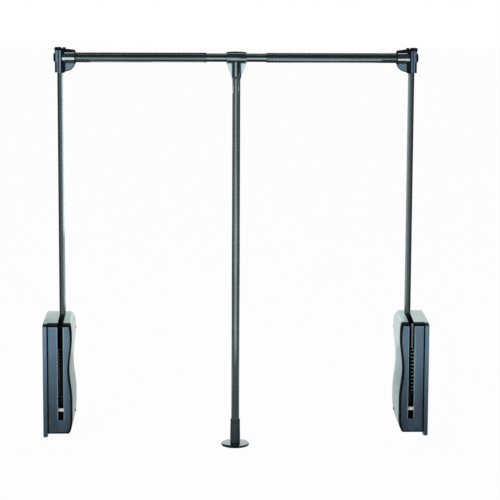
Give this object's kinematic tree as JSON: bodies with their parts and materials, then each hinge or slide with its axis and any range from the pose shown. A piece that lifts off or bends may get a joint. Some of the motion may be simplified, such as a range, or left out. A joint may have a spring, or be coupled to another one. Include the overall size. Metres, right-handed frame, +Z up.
{
  "type": "pull-down clothes rail",
  "caption": "Pull-down wardrobe rail: sprung side housings on wall plates, swinging arms, a telescopic rail and a pull pole that hangs from its middle.",
  "frame": {"origin": "bottom centre of the box around the whole object at rest: midway between the wall plates, midway through the housings' depth, level with the underside of the pull pole's disc", "axes": "+X to the right along the rail, +Y into the wardrobe, away from the user, +Z up along the pole"},
  "size_m": [0.858, 0.13, 0.9066],
  "materials": {
    "slate_paint": "satin slate blue",
    "pale_shell": "pale silver grey",
    "gunmetal_tube": "dark gunmetal",
    "dark_plastic": "near black",
    "lever_steel": "blackened",
    "bright_steel": "bright zinc",
    "bush_plastic": "natural",
    "buffer_rubber": "matte black"
  },
  "bodies": {
    "left_housing": {"left_mounting_plate": "slate_paint", "left_housing_shell": "pale_shell", "left_front_bezel": "slate_paint", "left_cover_screw_lower": "dark_plastic", "left_cover_screw_upper": "dark_plastic", "left_pivot_axle": "bright_steel", "left_stop_pin": "bright_steel", "left_rest_buffer": "buffer_rubber", "left_damper_cylinder": "bright_steel", "left_spring": "bright_steel"},
    "left_arm": {"left_lever": "lever_steel", "left_lever_bush": "bush_plastic", "left_crank_pin": "bright_steel", "left_arm_tube": "gunmetal_tube", "left_rail_bracket": "slate_paint", "left_bracket_cap": "dark_plastic", "left_bracket_screw": "dark_plastic", "left_rail_tube": "gunmetal_tube"},
    "left_plunger": {"left_yoke": "lever_steel", "left_plunger_rod": "bright_steel"},
    "right_housing": {"right_mounting_plate": "slate_paint", "right_housing_shell": "pale_shell", "right_front_bezel": "slate_paint", "right_cover_screw_lower": "dark_plastic", "right_cover_screw_upper": "dark_plastic", "right_pivot_axle": "bright_steel", "right_stop_pin": "bright_steel", "right_rest_buffer": "buffer_rubber", "right_damper_cylinder": "bright_steel", "right_spring": "bright_steel"},
    "right_arm": {"right_lever": "lever_steel", "right_lever_bush": "bush_plastic", "right_crank_pin": "bright_steel", "right_arm_tube": "gunmetal_tube", "right_rail_bracket": "slate_paint", "right_bracket_cap": "dark_plastic", "right_bracket_screw": "dark_plastic", "right_rail_tube": "gunmetal_tube"},
    "right_plunger": {"right_yoke": "lever_steel", "right_plunger_rod": "bright_steel"},
    "rail_centre": {"centre_rail": "gunmetal_tube"},
    "handle": {"tee": "slate_paint", "tee_screw": "dark_plastic", "handle_pole": "gunmetal_tube", "handle_collar": "dark_plastic", "handle_grip": "dark_plastic", "handle_disc": "pale_shell", "disc_screw": "bright_steel"}
  },
  "joints": [
    {"name": "arm_swing", "type": "hinge", "parent": "left_housing", "child": "left_arm", "pos_m": [-0.39, -0.013, 0.126], "axis": [1, 0, 0], "range_deg": [0, 95], "stiffness_Nm_per_rad": 8, "springref_deg": -25.78},
    {"name": "width_adjust", "type": "slide", "parent": "left_housing", "child": "right_housing", "axis": [1, 0, 0], "range_m": [-0.084, 0.29]},
    {"name": "right_arm_swing", "type": "hinge", "parent": "right_housing", "child": "right_arm", "pos_m": [0.39, -0.013, 0.126], "axis": [1, 0, 0], "range_deg": [0, 95], "stiffness_Nm_per_rad": 8, "springref_deg": -25.78},
    {"name": "rail_centre_slide", "type": "slide", "parent": "left_arm", "child": "rail_centre", "axis": [1, 0, 0], "range_m": [-0.042, 0.145]},
    {"name": "handle_swing", "type": "hinge", "parent": "rail_centre", "child": "handle", "pos_m": [0, 0.026, 0.884], "axis": [1, 0, 0], "continuous": true},
    {"name": "left_plunger_slide", "type": "slide", "parent": "left_housing", "child": "left_plunger", "axis": [0, 0, 1], "range_m": [0, 0.0325], "deforming": ["left_spring"]},
    {"name": "right_plunger_slide", "type": "slide", "parent": "right_housing", "child": "right_plunger", "axis": [0, 0, 1], "range_m": [0, 0.0325], "deforming": ["right_spring"]}
  ],
  "couplings": [
    {"joint": "right_arm_swing", "follows": "arm_swing", "ratio": 1},
    {"joint": "rail_centre_slide", "follows": "width_adjust", "ratio": 0.5},
    {"joint": "left_plunger_slide", "follows": "arm_swing", "m_per_rad": 0.01957},
    {"joint": "right_plunger_slide", "follows": "arm_swing", "m_per_rad": 0.01957}
  ]
}
